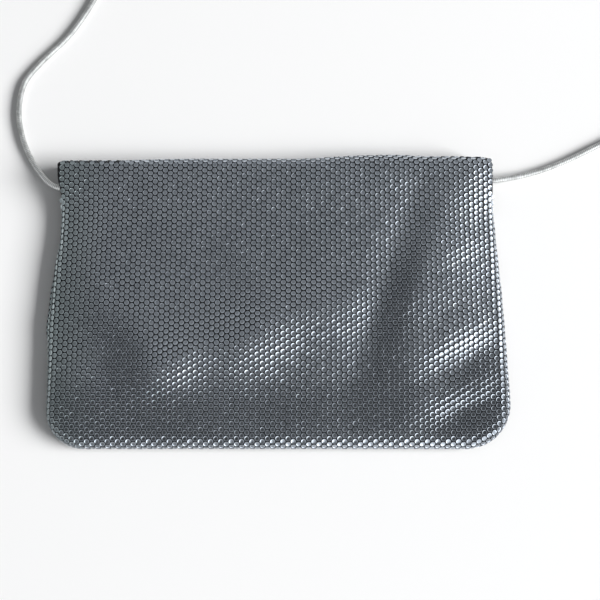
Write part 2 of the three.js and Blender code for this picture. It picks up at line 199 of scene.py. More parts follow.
# Places where the plates tip to one side on their rings. way is the direction that they tip to, in
# degrees from +X, and lean is in degrees.
LEAN_ROWS = table(
    "name x y turn length width way lean",
    ("high right edge", 0.885, 0.68, 75, 0.22, 0.06, -20, 12),
    ("right edge", 0.85, 0.27, 22, 0.19, 0.04, -60, 9),
    ("first ripple low", 0.69, -0.43, 45, 0.14, 0.055, -50, 8),
    ("first ripple", 0.85, -0.28, 14, 0.17, 0.05, -60, 9),
    ("second ripple low", 0.73, -0.73, 38, 0.12, 0.06, -50, 12),
    ("second ripple", 0.92, -0.66, 10, 0.11, 0.03, -60, 9),
    ("between ripples", 0.82, -0.60, 30, 0.12, 0.08, -50, -7),
    ("corner", 0.88, -0.84, 25, 0.18, 0.11, -50, -7),
    ("low ramp", 0.05, -0.74, 0, 0.85, 0.18, -80, -9),
    ("right hollow", 0.52, -0.45, 80, 0.40, 0.13, -60, -6),
    ("right ramp", 0.78, 0.15, 90, 0.55, 0.10, -10, -4),
    ("left ramp", -0.86, 0.0, 90, 0.8, 0.12, -20, 4),
)

# Painted shade on a plate's lip, from a clean face (0) to its fully shaded wall (1)
LIP_SHADE = 0.1
# Shares of the plate's radius: where its lip starts, where its wall is, and where the painted shade
# on its middle starts and is full
LIP_SHARE = 0.9
WALL_SHARE = 0.99
PAINTED_SHADE_START = 0.92
PAINTED_SHADE_FULL = 0.62
# Random seed of each piece's plates
SEEDS = {"back_plates": 11, "back_edge_plates": 12, "front_plates": 21,
         "flap_plates_left": 31, "flap_plates_right": 32}
# Curved nets: their grid, how far plates keep off the rim, in plate radii, and off each other, in
# pitches
LAYER_ROWS = table(
    "name columns rows rim gap",
    ("front_net", 90, 60, 1.6, 0.86),
    ("flap_net", 130, 110, 0.5, 0.79),
)
# Ring net: three wave directions that peak on every point of the plate lattice, in plate pitches
NET_WAVES = [(2 / math.sqrt(3), 0), (-1 / math.sqrt(3), 1), (1 / math.sqrt(3), 1)]
# Where the green film of the left side starts and where it is strongest, from the middle
GREEN_START = -88 * MM
GREEN_END = -118 * MM
# Polished metals: their dull places' share of the colour, the tarnish, the roughness and what dull
# places add to it, and the scratches
METAL_ROWS = table(
    "name metallic dull cloud speck amount rough worn scratch bump",
    ("chain_steel", 0.93, 0.35, 60.0, 500.0, 0.6, 0.42, 0.20, 2200.0, 0.3),
    ("polished_fitting", 1.0, 0.55, 90.0, 700.0, 0.5, 0.18, 0.25, 2500.0, 0.4),
)
# Lights: direction round the purse, height over the table and half sizes, all in degrees
KEY_ROW, *WINDOW_ROWS = table(
    "name around up wide high",
    ("softbox", -8, 24, 19, 10),
    ("low window", -60, 33, 24, 23),
    ("side window", -8, 28, 22, 15),
)
KEY_DISTANCE = 8.0
WINDOW_BLUR = 4


def length_field(name, description, default):
    return FloatProperty(name=name, description=description, default=default, unit="LENGTH", precision=5)


def angle_field(name, description, degrees):
    return FloatProperty(
        name=name, description=description, default=math.radians(degrees), subtype="ANGLE")


def color_field(name, description, default):
    return FloatVectorProperty(
        name=name, description=description, default=default, subtype="COLOR", min=0, max=1)


class PurseMeshSettings(PropertyGroup):
    plate_pitch: length_field("Plate pitch", "Distance between neighbouring plates in a column", 2.95 * MM)
    plate_radius: length_field("Plate radius", "Outer radius of one round plate", 1.27 * MM)
    lip_width: length_field("Lip width", "Width of the raised lip round the plate", 0.13 * MM)
    lip_height: length_field("Lip height", "Height of the lip over the dish's outer edge", 0.06 * MM)
    dish_radius: length_field("Dish radius", "Radius of the dish's nearly level middle", 0.75 * MM)
    dish_depth: length_field("Dish depth", "Depth of the plate's middle under its lip", 0.09 * MM)
    net_depth: length_field("Net depth", "How far the ring net lies under the plates' tops", 0.45 * MM)
    plate_tilt: angle_field("Plate tilt", "How much single plates tip out of line", 2.0)
    plate_sides: IntProperty(
        name="Plate sides", description="Corners round one plate", default=10, min=8, max=16)


class PurseChainSettings(PropertyGroup):
    diameter: length_field("Chain diameter", "Outer diameter of the snake chain", 3.0 * MM)
    link_pitch: length_field("Link pitch", "Length that one link takes up along the chain", 1.0 * MM)
    groove: length_field("Groove depth", "How deep the joint between two links is", 0.22 * MM)
    twist: angle_field("Twist", "How far the chain turns about itself over its whole run", 700)


class PurseFinishSettings(PropertyGroup):
    plate_color: color_field("Plate colour", "Clean gunmetal plating", (0.62, 0.67, 0.735))
    # Colour of the real tarnish, and at 0.3 of it the colour that the painted shade on the plates goes to.
    tarnish_and_shade_color: color_field("Tarnish colour", "Dull dark film on the plates", (0.30, 0.33, 0.37))
    verdigris_color: color_field("Green film colour", "Green film at the left side", (0.36, 0.46, 0.42))
    # The net's colour is partly the rings' own dark steel and partly painted shade in the gaps between the
    # plates.
    net_and_gap_shade_color: color_field("Net colour", "Dark steel rings under the plates", (0.06, 0.062, 0.068))
    # Painted shade: the middle of every plate is darkened by this share, a painted dark reflection.
    face_painted_shade: FloatProperty(
        name="Face film", description="Share of dark film on the middle of every plate",
        default=0.22, min=0, max=1)
    chain_color: color_field("Chain colour", "Polished chain links", (0.78, 0.79, 0.78))
    fitting_color: color_field("Fitting colour", "Caps, rings, tabs and closure", (0.70, 0.71, 0.72))


class PurseStudioSettings(PropertyGroup):
    elevation: angle_field("Camera elevation", "Height of the camera over the table, as an angle", 80)
    view_angle: angle_field("View angle", "Full angle of view of the square picture", 40)
    distance: length_field("Camera distance", "Distance from the camera to the purse", 0.42128)
    target: FloatVectorProperty(
        name="Camera target", description="Point in the middle of the picture",
        default=(0.01097, -0.00084, 0.006), subtype="XYZ_LENGTH")
    floor_color: color_field("Floor colour", "Plain pale table", (0.92, 0.92, 0.92))
    key_strength: FloatProperty(
        name="Key light", description="Brightness of the large softbox on the right", default=29.0)
    window_strength: FloatProperty(
        name="Windows", description="Brightness of the two windows that the plates reflect", default=1.8)
    fill_strength: FloatProperty(
        name="Room light", description="Brightness of the room round the purse", default=0.25)


def settings(name):
    return getattr(bpy.context.scene, name)


def row_named(rows, name):
    return next(row for row in rows if row["name"] == name)


def stack(*parts):
    """Points from their separate coordinates."""
    return np.stack(parts, axis=-1)


def ease(value):
    share = np.clip(value, 0.0, 1.0)
    return share * share * (3.0 - 2.0 * share)


def read_rows(rows, key, column, at):
    """Values read from rows sorted by their key, with eased steps from row to row."""
    keys = np.array([row[key] for row in rows])
    values = np.array([row[column] for row in rows])
    spot = np.clip(at, keys[0], keys[-1])
    low = np.clip(np.searchsorted(keys, spot, side="right") - 1, 0, len(keys) - 2)
    share = (spot - keys[low]) / (keys[low + 1] - keys[low])
    return values[low] + (values[low + 1] - values[low]) * ease(share)


def side_at(column, y):
    return HALF_WIDTH * read_rows(SIDE_ROWS, "height", column, (y + HALF_HEIGHT) / BAG_HEIGHT)


def patches_at(rows, column, x, y):
    """Sum of long soft patches, each with its own place, direction, length and width."""
    total = np.zeros_like(x)
    for row in rows:
        turn = math.radians(row["turn"])
        dx = x - row["x"] * HALF_WIDTH
        dy = y - row["y"] * HALF_HEIGHT
        along = (dx * math.cos(turn) + dy * math.sin(turn)) / (row["length"] * HALF_HEIGHT)
        across = (dy * math.cos(turn) - dx * math.sin(turn)) / (row["width"] * HALF_HEIGHT)
        total = total + row[column] * np.exp(-(along * along + across * across) / 2)
    return total


def leaned(points, normals):
    """Normals of the plates, tipped where the mesh catches the light on its folds."""
    tipped = normals.copy()
    for row in LEAN_ROWS:
        way = math.radians(row["way"])
        amount = patches_at([row], "lean", points[:, 0], points[:, 1])
        amount = np.tan(np.radians(amount))[:, None] * (normals[:, 2:] > 0.5)
        tipped = tipped + amount * np.array([[math.cos(way), math.sin(way), 0.0]])
    return unit(tipped)


def bedded(points, depth):
    """Front panel points, lowered to the level bed under the closure disc."""
    turns = np.linspace(0, 2 * math.pi, 16, endpoint=False)
    over = crown_at(SNAP_DIAMETER / 2 * np.cos(turns), SNAP_Y + SNAP_DIAMETER / 2 * np.sin(turns))
    over = min(over.min(), crown_at(np.array([0.0]), np.array([SNAP_Y]))[0])
    seat = over - MESH_WALL - SNAP_THICKNESS - 3 * CLEARANCE
    away = np.hypot(points[:, 0], points[:, 1] - SNAP_Y) - SNAP_DIAMETER / 2
    bed = 1 - ease((away - SNAP_MARGIN) / SNAP_BED)
    low = np.minimum(points[:, 2], seat - depth)
    return np.column_stack([points[:, :2], points[:, 2] + (low - points[:, 2]) * bed])


def crease_at(x, y):
    return CREASE_DEPTH * patches_at(CREASE_ROWS, "lift", x, y)


def crown_at(x, y):
    """Height of the cover before its rim rolls down."""
    from_left = x + side_at("flap_left", y)
    from_right = side_at("flap_right", y) - x
    from_bottom = y + HALF_HEIGHT
    from_rim = np.minimum(np.minimum(from_left, from_right), from_bottom)
    sides = ease(from_left / RISE_WIDTH) * ease(from_right / RISE_WIDTH)
    pocket = POCKET_RISE * sides * ease(from_bottom / LOW_RISE_WIDTH)
    to_fold = ease(1 - (FOLD_LINE - y) / FOLD_SHOULDER)
    creased = crease_at(x, y) * ease(from_rim / CREASE_MARGIN) * ease((FOLD_LINE - y) / CREASE_MARGIN)
    return (SHOULDER_HEIGHT + pocket) * (1 - to_fold) + FOLD_HEIGHT * to_fold + creased


def roll_share_at(y):
    """How much of the rim's roll is left: none near the top fold, where the strap leaves."""
    return 1 - ease((y - (HALF_HEIGHT - ROLL_FADE_START)) / (ROLL_FADE_START - ROLL_FADE_END))


def unit(vectors):
    return vectors / np.maximum(np.linalg.norm(vectors, axis=-1, keepdims=True), 1e-12)


def cover_surface(s, t, full_roll=False):
    """Points and normals of the cover's outside for places s, t on the flat sheet.

    inside is the distance from the flat sheet's rim, less than nothing off the sheet.
    """
    y = np.minimum(t, FOLD_LINE)
    share = np.ones_like(y) if full_roll else roll_share_at(y)
    extra = ROLL_EXTRA * share
    left = s + side_at("flap_left", y) + extra
    right = side_at("flap_right", y) + extra - s
    side = np.where(left < right, -1.0, 1.0)
    from_side = np.minimum(left, right)
    from_bottom = t + HALF_HEIGHT + ROLL_EXTRA
    corner = np.where(side < 0, LEFT_CORNER, RIGHT_CORNER) + ROLL_EXTRA
    in_corner = (from_side < corner) & (from_bottom < corner)
    out_x = (corner - from_side) / corner
    out_y = (corner - from_bottom) / corner
    reach = np.maximum(np.hypot(out_x, out_y), 1e-9)
    nearer_side = from_side < from_bottom
    way_x = np.where(in_corner, side * out_x / reach, np.where(nearer_side, side, 0.0))
    way_y = np.where(in_corner, -out_y / reach, np.where(nearer_side, 0.0, -1.0))
    inside = np.where(in_corner, corner * (1 - reach), np.minimum(from_side, from_bottom))

    rolled = np.clip(inside / (COVER_ROLL + extra), 0, 1)
    straight = COVER_ROLL * rolled
    round_off = COVER_ROLL * (1 - np.cos(rolled * math.pi / 2))
    rim = np.where(rolled < 1, straight + (round_off - straight) * share, inside - extra)
    moved = np.maximum(rim - (inside - extra), 0)
    x = s - way_x * moved
    y = np.minimum(t - way_y * moved, FOLD_LINE)
    turn = np.clip(1 - rim / COVER_ROLL, 0, 1)
    drop = COVER_ROLL * share * (1 - np.sqrt(1 - turn * turn))
    points = stack(x, y, crown_at(x, y) - drop)
    tilt = turn * share
    step = 0.5 * MM
    level = np.sqrt(1 - tilt * tilt)
    slope_x = (crown_at(x + step, y) - crown_at(x - step, y)) / (2 * step)
    slope_y = (crown_at(x, y + step) - crown_at(x, y - step)) / (2 * step)
    normals = stack(way_x * tilt - level * slope_x, way_y * tilt - level * slope_y, level)

    beyond = t > FOLD_LINE
    fold_left = -side_at("flap_left", np.full_like(s, FOLD_LINE))
    fold_right = side_at("flap_right", np.full_like(s, FOLD_LINE))
    width_share = (s - fold_left) / (fold_right - fold_left)
    depth = FOLD_REACH * read_rows(FOLD_ROWS, "width", "reach", width_share)
    half = FOLD_HEIGHT / 2
    angle = np.clip((t - FOLD_LINE) / fold_radius(depth), 0, math.pi)
    inset = FOLD_CORNER * (1 - np.abs(np.cos(angle)))
    fold_x = fold_left + inset + (fold_right - fold_left - 2 * inset) * width_share
    fold_points = stack(fold_x, FOLD_LINE + depth * np.sin(angle), half + half * np.cos(angle))
    fold_normals = stack(np.zeros_like(s), np.sin(angle) / depth, np.cos(angle) / half)
    pick = beyond[..., None]
    points = np.where(pick, fold_points, points)
    normals = np.where(pick, unit(fold_normals), unit(normals))
    inside = np.where(beyond, np.minimum(s - fold_left, fold_right - s), inside)
    return points, normals, inside


def fold_radius(depth):
    """Mean radius of the top fold where it reaches out by depth."""
    return np.sqrt((depth ** 2 + (FOLD_HEIGHT / 2) ** 2) / 2)


def fold_end():
    """Place on the flat sheet where the fold's underside meets the back panel."""
    return FOLD_LINE + math.pi * float(fold_radius(np.array(FOLD_REACH * FOLD_ROWS[0]["reach"])))


def back_outline(y):
    """Left and right edge of the back panel at height y, with its round bottom corners."""
    bottom = BACK_INSET - HALF_HEIGHT
    left = BACK_INSET - side_at("back_left", y)
    right = side_at("back_right", y) - BACK_INSET
    up = y - bottom
    left_in = np.clip(LEFT_CORNER - up, 0, LEFT_CORNER)
    right_in = np.clip(RIGHT_CORNER - up, 0, RIGHT_CORNER)
    left = left + LEFT_CORNER - np.sqrt(LEFT_CORNER ** 2 - left_in ** 2)
    right = right - RIGHT_CORNER + np.sqrt(RIGHT_CORNER ** 2 - right_in ** 2)
    return left, right


def select_only(piece):
    bpy.ops.object.select_all(action="DESELECT")
    piece.select_set(True)
    bpy.context.view_layer.objects.active = piece


def grid_sheet(name, columns, rows, place):
    """A flat grid whose points are moved by place(u, v) to points and flat coordinates."""
    bpy.ops.object.select_all(action="DESELECT")
    bpy.ops.mesh.primitive_grid_add(x_subdivisions=columns, y_subdivisions=rows, size=2)
    sheet = bpy.context.object
    sheet.name = name
    mesh = sheet.data
    mesh.name = name
    spots = np.empty(len(mesh.vertices) * 3)
    mesh.vertices.foreach_get("co", spots)
    spots = spots.reshape(-1, 3)
    points, flat = place(spots[:, 0], spots[:, 1])
    mesh.vertices.foreach_set("co", points.ravel())
    corners = np.empty(len(mesh.loops), dtype=np.int32)
    mesh.loops.foreach_get("vertex_index", corners)
    pitch = settings("purse_mesh").plate_pitch
    layer = mesh.uv_layers[0] if mesh.uv_layers else mesh.uv_layers.new(name="flat")
    layer.name = "flat"
    layer.data.foreach_set("uv", (flat[corners] / pitch).ravel())
    mesh.update()
    bpy.ops.object.shade_smooth()
    return sheet


def thicken(sheet, wall):
    solid = sheet.modifiers.new("wall", "SOLIDIFY")
    solid.thickness = wall
    solid.offset = -1
    solid.use_even_offset = False
    select_only(sheet)
    bpy.ops.object.modifier_apply(modifier=solid.name)


def flat_place(u, v, top, full_roll):
    """Places on the flat sheet for grid spots u, v from -1 to 1, drawn in at the bottom corners."""
    bottom = -HALF_HEIGHT - ROLL_EXTRA
    t = bottom + (top - bottom) * (v + 1) / 2
    y = np.minimum(t, FOLD_LINE)
    extra = ROLL_EXTRA * (np.ones_like(y) if full_roll else roll_share_at(y))
    left = -side_at("flap_left", y) - extra
    right = side_at("flap_right", y) + extra
    s = left + (right - left) * (u + 1) / 2
    for side, size in ((-1, LEFT_CORNER), (1, RIGHT_CORNER)):
        corner = size + ROLL_EXTRA
        from_side = (s - left) if side < 0 else (right - s)
        p = np.clip(1 - from_side / corner, 0, 1)
        q = np.clip(1 - (t - bottom) / corner, 0, 1)
        s = s + side * corner * p * (np.sqrt(1 - q * q / 2) - 1)
        t = t - corner * q * (np.sqrt(1 - p * p / 2) - 1)
    return s, t


def lattice(half_width, bottom, top):
    """Places of round plates on a flat sheet: columns half a pitch apart from each other."""
    pitch = settings("purse_mesh").plate_pitch
    column_pitch = pitch * math.sqrt(3) / 2
    columns = np.arange(-int(half_width / column_pitch) - 1, int(half_width / column_pitch) + 2)
    rows = np.arange(int(bottom / pitch) - 1, int(top / pitch) + 2)
    column, row = np.meshgrid(columns, rows, indexing="ij")
    s = column * column_pitch
    t = (row + 0.5 * (column % 2)) * pitch
    return s.ravel(), t.ravel()


def thin_out(points, least):
    """Keeps the plates that stay clear of those kept before them."""
    tree = KDTree(len(points))
    for index, point in enumerate(points):
        tree.insert(point, index)
    tree.balance()
    keep = np.ones(len(points), dtype=bool)
    for index, point in enumerate(points):
        if keep[index]:
            for _, other, _ in tree.find_range(point, least):
                if other > index:
                    keep[other] = False
    return keep


def plate_model(dished):
    """One round plate with its rim at height 0: a wall, and a dish or a plain flat."""
    sizes = settings("purse_mesh")
    depth = sizes.net_depth
    bpy.ops.object.select_all(action="DESELECT")
    bpy.ops.mesh.primitive_circle_add(
        vertices=sizes.plate_sides, radius=sizes.plate_radius, fill_type="NGON", location=(0, 0, -depth))
    plate = bpy.context.object
    bpy.ops.object.mode_set(mode="EDIT")
    bpy.ops.mesh.select_mode(type="FACE")
    bpy.ops.mesh.select_all(action="SELECT")
    bpy.ops.mesh.extrude_region_move(TRANSFORM_OT_translate={"value": (0, 0, depth)})
    if dished:
        bpy.ops.mesh.inset(thickness=sizes.lip_width, depth=-sizes.lip_height)
        slope = sizes.plate_radius - sizes.lip_width - sizes.dish_radius
        bpy.ops.mesh.inset(thickness=slope, depth=-sizes.dish_depth * 0.75)
        bpy.ops.mesh.poke(offset=-sizes.dish_depth * 0.25)
    bpy.ops.object.mode_set(mode="OBJECT")
    bpy.ops.object.transform_apply(location=True, rotation=True, scale=True)
    mesh = plate.data
    points = np.array([vertex.co for vertex in mesh.vertices])
    faces = [list(polygon.vertices) for polygon in mesh.polygons]
    bpy.data.objects.remove(plate)
    bpy.data.meshes.remove(mesh)
    return points, faces


def scatter(name, model, places, normals):
    """One joined mesh of a plate at every place, with its top turned to the normal."""
    points, faces = model
    random = np.random.default_rng(SEEDS[name])
    count = len(places)
    sizes = settings("purse_mesh")
    normals = unit(normals + random.normal(0, sizes.plate_tilt, (count, 3)))
    guide = np.where(np.abs(normals[:, :1]) < 0.9, [[1.0, 0.0, 0.0]], [[0.0, 1.0, 0.0]])
    second = unit(np.cross(normals, guide))
    first = np.cross(second, normals)
    axes = np.stack([first, second, normals], axis=1)
    vertices = places[:, None, :] + np.einsum("vk,nkc->nvc", points, axes)
    mesh = bpy.data.meshes.new(name)
    starts = range(0, count * len(points), len(points))
    all_faces = [[start + corner for corner in face] for start in starts for face in faces]
    mesh.from_pydata(vertices.reshape(-1, 3).tolist(), [], all_faces, shade_flat=False)
    # Painted shade for every plate, read from the patch table; the attribute named film carries it.
    film = np.clip(patches_at(PAINTED_SHADE_ROWS, "amount", places[:, 0], places[:, 1]), 0, 1)
    radial = np.hypot(points[:, 0], points[:, 1]) / sizes.plate_radius
    values = {"tone": np.repeat(random.random(count), len(points)), "film": np.repeat(film, len(points)),
              "radial": np.tile(radial, count)}
    for key, value in values.items():
        layer = mesh.attributes.new(key, "FLOAT", "POINT")
        layer.data.foreach_set("value", value.astype(np.float32))
    # Painted shade on each plate's wall, and a little on its lip; the attribute named wall carries it.
    nearest = np.array([radial[face].min() for face in faces])
    walls = LIP_SHADE * (nearest > LIP_SHARE) + (1 - LIP_SHADE) * (nearest > WALL_SHARE)
    layer = mesh.attributes.new("wall", "FLOAT", "FACE")
    layer.data.foreach_set("value", np.tile(walls, count).astype(np.float32))
    mesh.validate()
    sharpen_rims(mesh, points)
    piece = bpy.data.objects.new(name, mesh)
    bpy.context.scene.collection.objects.link(piece)
    return piece


def sharpen_rims(mesh, points):
    """Marks both edges of every plate's lip as sharp, so that wall, lip and dish shade apart."""
    sizes = settings("purse_mesh")
    outer = np.hypot(points[:, 0], points[:, 1]) > sizes.plate_radius - sizes.lip_width * 1.05
    ends = np.empty(len(mesh.edges) * 2, dtype=np.int32)
    mesh.edges.foreach_get("vertices", ends)
    ends = ends.reshape(-1, 2) % len(points)
    level = np.abs(points[ends[:, 0], 2] - points[ends[:, 1], 2]) < 0.001 * MM
    sharp = outer[ends].all(axis=1) & level
    mesh.edges.foreach_set("use_edge_sharp", sharp)


def new_material(name):
    material = bpy.data.materials.new(name)
    material.use_nodes = True
    tree = material.node_tree
    return material, tree, tree.nodes["Principled BSDF"]


def new_group(name, inputs, outputs):
    """An empty node group with named sockets: (name, socket type, default)."""
    group = bpy.data.node_groups.new(name, "ShaderNodeTree")
    for socket, kind, default in inputs:
        made = group.interface.new_socket(name=socket, in_out="INPUT", socket_type=kind)
        if default is not None:
            made.default_value = default
    for socket, kind in outputs:
        group.interface.new_socket(name=socket, in_out="OUTPUT", socket_type=kind)
    start = group.nodes.new("NodeGroupInput")
    end = group.nodes.new("NodeGroupOutput")
    return group, start, end


def math_node(tree, operation, first, second=None):
    node = tree.nodes.new("ShaderNodeMath")
    node.operation = operation
    for socket, value in zip(node.inputs, (first, second)):
        if isinstance(value, (int, float)):
            socket.default_value = value
        elif value is not None:
            tree.links.new(value, socket)
    return node.outputs[0]


def times(tree, first, second):
    return math_node(tree, "MULTIPLY", first, second)


def plus(tree, first, second):
    return math_node(tree, "ADD", first, second)


def attribute(tree, name):
    node = tree.nodes.new("ShaderNodeAttribute")
    node.attribute_name = name
    return node.outputs["Fac"]


def own_place(tree):
    return tree.nodes.new("ShaderNodeTexCoord").outputs["Object"]


def mix_colors(tree, factor, first, second):
    node = tree.nodes.new("ShaderNodeMix")
    node.data_type = "RGBA"
    for socket, value in ((node.inputs[0], factor), (node.inputs[6], first), (node.inputs[7], second)):
        if isinstance(value, tuple):
            socket.default_value = value
        else:
            tree.links.new(value, socket)
    return node.outputs[2]


def map_range(tree, value, start, end, low, high, kind="LINEAR"):
    node = tree.nodes.new("ShaderNodeMapRange")
    node.interpolation_type = kind
    for socket, number in (("From Min", start), ("From Max", end), ("To Min", low), ("To Max", high)):
        node.inputs[socket].default_value = number
    tree.links.new(value, node.inputs["Value"])
    return node.outputs["Result"]


def tarnish_group():
    """Cloudy film: a mask from two sizes of noise on the piece's own coordinates."""
    if "Tarnish" in bpy.data.node_groups:
        return bpy.data.node_groups["Tarnish"]
    inputs = [("Cloud scale", "NodeSocketFloat", 30.0), ("Speck scale", "NodeSocketFloat", 400.0),
              ("Amount", "NodeSocketFloat", 0.5)]
    group, start, end = new_group("Tarnish", inputs, [("Mask", "NodeSocketFloat")])
    cloud = group.nodes.new("ShaderNodeTexNoise")
    speck = group.nodes.new("ShaderNodeTexNoise")
    for node, socket in ((cloud, "Cloud scale"), (speck, "Speck scale")):
        group.links.new(own_place(group), node.inputs["Vector"])
        group.links.new(start.outputs[socket], node.inputs["Scale"])
        node.inputs["Detail"].default_value = 3.0
    both = times(group, cloud.outputs["Fac"], speck.outputs["Fac"])
    spread = times(group, math_node(group, "SUBTRACT", both, 0.16), 5.0)
    mask = times(group, math_node(group, "MINIMUM", spread, 1.0), start.outputs["Amount"])
    group.links.new(math_node(group, "MAXIMUM", mask, 0.0), end.inputs["Mask"])
    return group


def scratch_group():
    """Fine scratches and orange peel as a height for a bump."""
    if "Fine scratches" in bpy.data.node_groups:
        return bpy.data.node_groups["Fine scratches"]
    inputs = [("Scale", "NodeSocketFloat", 900.0)]
    group, start, end = new_group("Fine scratches", inputs, [("Height", "NodeSocketFloat")])
    stretch = group.nodes.new("ShaderNodeMapping")
    stretch.inputs["Rotation"].default_value = (0.3, 0.2, 0.9)
    stretch.inputs["Scale"].default_value = (1.0, 0.12, 1.0)
    noise = group.nodes.new("ShaderNodeTexNoise")
    noise.inputs["Detail"].default_value = 2.0
    group.links.new(own_place(group), stretch.inputs["Vector"])
    group.links.new(stretch.outputs["Vector"], noise.inputs["Vector"])
    group.links.new(start.outputs["Scale"], noise.inputs["Scale"])
    group.links.new(noise.outputs["Fac"], end.inputs["Height"])
    return group


def ring_net_group():
    """Height and mask of rings that lie on the plate lattice, from the sheet's flat coordinates."""
    group, start, end = new_group(
        "Ring net", [("Flat", "NodeSocketVector", None)],
        [("Height", "NodeSocketFloat"), ("Wire", "NodeSocketFloat")])
    total = None
    for wave in NET_WAVES:
        dot = group.nodes.new("ShaderNodeVectorMath")
        dot.operation = "DOT_PRODUCT"
        group.links.new(start.outputs["Flat"], dot.inputs[0])
        dot.inputs[1].default_value = (wave[0] * 2 * math.pi, wave[1] * 2 * math.pi, 0)
        ridge = math_node(group, "COSINE", dot.outputs["Value"])
        total = ridge if total is None else plus(group, total, ridge)
    off_wire = math_node(group, "ABSOLUTE", math_node(group, "SUBTRACT", total, 0.35))
    wire = math_node(group, "SUBTRACT", 1.0, times(group, off_wire, 1.1))
    wire = math_node(group, "MAXIMUM", wire, 0.0)
    group.links.new(wire, end.inputs["Height"])
    group.links.new(math_node(group, "SMOOTH_MIN", wire, 1.0), end.inputs["Wire"])
    return group


def use_group(tree, group, **values):
    node = tree.nodes.new("ShaderNodeGroup")
    node.node_tree = group
    for socket, value in values.items():
        node.inputs[socket.replace("_", " ")].default_value = value
    return node


def link_looks(tree, shader, base, rough, height, distance, strength):
    """Gives a shader its colour, its roughness and a bump."""
    tree.links.new(base, shader.inputs["Base Color"])
    tree.links.new(rough, shader.inputs["Roughness"])
    bump = tree.nodes.new("ShaderNodeBump")
    bump.inputs["Distance"].default_value = distance
    bump.inputs["Strength"].default_value = strength
    tree.links.new(height, bump.inputs["Height"])
    tree.links.new(bump.outputs["Normal"], shader.inputs["Normal"])


def rgba(color, share=1.0):
    return tuple(channel * share for channel in color) + (1.0,)


def plate_material():
    if "plated_steel" in bpy.data.materials:
        return bpy.data.materials["plated_steel"]
    finish = settings("purse_finish")
    material, tree, shader = new_material("plated_steel")
    shader.inputs["Metallic"].default_value = 1.0
    tarnish = use_group(tree, tarnish_group(), Cloud_scale=26.0, Speck_scale=330.0, Amount=0.75)
    tone = attribute(tree, "tone")
    wall = attribute(tree, "wall")
    split = tree.nodes.new("ShaderNodeSeparateXYZ")
    tree.links.new(own_place(tree), split.inputs["Vector"])
    green = map_range(tree, split.outputs["X"], GREEN_START, GREEN_END, 0.0, 0.55)
    film = times(tree, times(tree, plus(tree, tone, 0.35), 0.6), tarnish.outputs["Mask"])
    base = mix_colors(tree, film, rgba(finish.plate_color), rgba(finish.tarnish_and_shade_color))
    base = mix_colors(tree, green, base, rgba(finish.verdigris_color))
    # Painted shade: each plate's middle is darkened by the face share or the patch table's share, and its
    # wall and lip by the wall attribute, towards 0.3 of the tarnish colour.
    middle = map_range(tree, attribute(tree, "radial"), PAINTED_SHADE_START, PAINTED_SHADE_FULL, 0.0, 1.0)
    over = math_node(tree, "MAXIMUM", attribute(tree, "film"), finish.face_painted_shade)
    painted_shade_share = times(tree, times(tree, over, middle), 0.85)
    painted_shade_share = math_node(tree, "MAXIMUM", painted_shade_share, times(tree, wall, 0.95))
    base = mix_colors(tree, painted_shade_share, base, rgba(finish.tarnish_and_shade_color, 0.3))
    rough = plus(tree, times(tree, film, 0.18), 0.13)
    rough = plus(tree, rough, times(tree, tone, 0.05))
    rough = plus(tree, rough, times(tree, wall, 0.35))
    scratches = use_group(tree, scratch_group(), Scale=1500.0)
    link_looks(tree, shader, base, rough, scratches.outputs["Height"], 0.04 * MM, 0.25)
    return material


def net_material():
    if "ring_net" in bpy.data.materials:
        return bpy.data.materials["ring_net"]
    finish = settings("purse_finish")
    material, tree, shader = new_material("ring_net")
    shader.inputs["Metallic"].default_value = 0.9
    flat = tree.nodes.new("ShaderNodeUVMap")
    flat.uv_map = "flat"
    rings = use_group(tree, ring_net_group())
    tree.links.new(flat.outputs["UV"], rings.inputs["Flat"])
    # Between the wires the net is painted darker still: painted shade in the holes of the net.
    base = mix_colors(tree, rings.outputs["Wire"], rgba(finish.net_and_gap_shade_color, 0.4), rgba(finish.net_and_gap_shade_color))
    rough = math_node(tree, "SUBTRACT", 0.62, times(tree, rings.outputs["Wire"], 0.25))
    link_looks(tree, shader, base, rough, rings.outputs["Height"], 0.4 * MM, 1.0)
    return material


def metal_material(name, color, grooved):
    """Polished metal with dull places, and with dark joints where it is grooved."""
    row = row_named(METAL_ROWS, name)
    material, tree, shader = new_material(name)
    shader.inputs["Metallic"].default_value = row["metallic"]
    tarnish = use_group(
        tree, tarnish_group(), Cloud_scale=row["cloud"], Speck_scale=row["speck"], Amount=row["amount"])
    dull = tarnish.outputs["Mask"]
    if grooved:
        dull = math_node(tree, "MAXIMUM", attribute(tree, "groove"), dull)
    base = mix_colors(tree, dull, rgba(color), rgba(color, row["dull"]))
    rough = plus(tree, times(tree, dull, row["worn"]), row["rough"])
    scratches = use_group(tree, scratch_group(), Scale=row["scratch"])
    link_looks(tree, shader, base, rough, scratches.outputs["Height"], 0.03 * MM, row["bump"])
    return material


def dress(piece, material):
    piece.data.materials.clear()
    piece.data.materials.append(material)


def finish_sheet(net, plates, node, cut):
    dress(net, net_material())
    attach(net, "root")
    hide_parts(node)
    for piece in plates:
        dress(piece, plate_material())
        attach(piece, "root")


def sky_axes(row):
    """Axes at a light's place in the sky: from the purse towards it, beside it and over it."""
    turn = Euler((0, -math.radians(row["up"]), math.radians(row["around"])))
    return turn.to_matrix().transposed()


